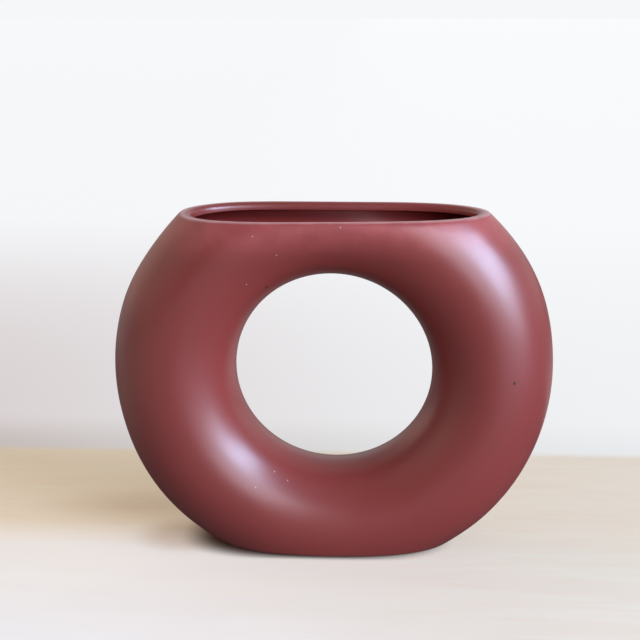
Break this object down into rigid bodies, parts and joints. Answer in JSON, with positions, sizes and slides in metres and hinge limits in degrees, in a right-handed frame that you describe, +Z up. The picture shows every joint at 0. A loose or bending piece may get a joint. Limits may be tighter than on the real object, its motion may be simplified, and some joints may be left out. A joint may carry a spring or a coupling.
{
  "type": "donut vase",
  "caption": "Hollow ceramic ring vase: a round tube bent into an upright ring, cut flat at the foot and open along its top in a long oval mouth.",
  "frame": {"origin": "on the table under the middle of the foot", "axes": "+X across the vase to its right end, +Y from its front to its back along the hole, +Z up"},
  "size_m": [0.146, 0.04, 0.114],
  "materials": {
    "stoneware": "bare fired stoneware, fine and slightly chalky, seen only on the foot ring and in its hollow",
    "matt_glaze": "satin-matt burgundy glaze with a soft broad sheen, thinner and paler over the rim's edges",
    "liner_glaze": "the same burgundy, glossier, lining the hollow"
  },
  "bodies": {
    "root": {"clay_body": "stoneware", "outer_glaze": "matt_glaze", "inner_glaze": "liner_glaze"}
  },
  "joints": []
}
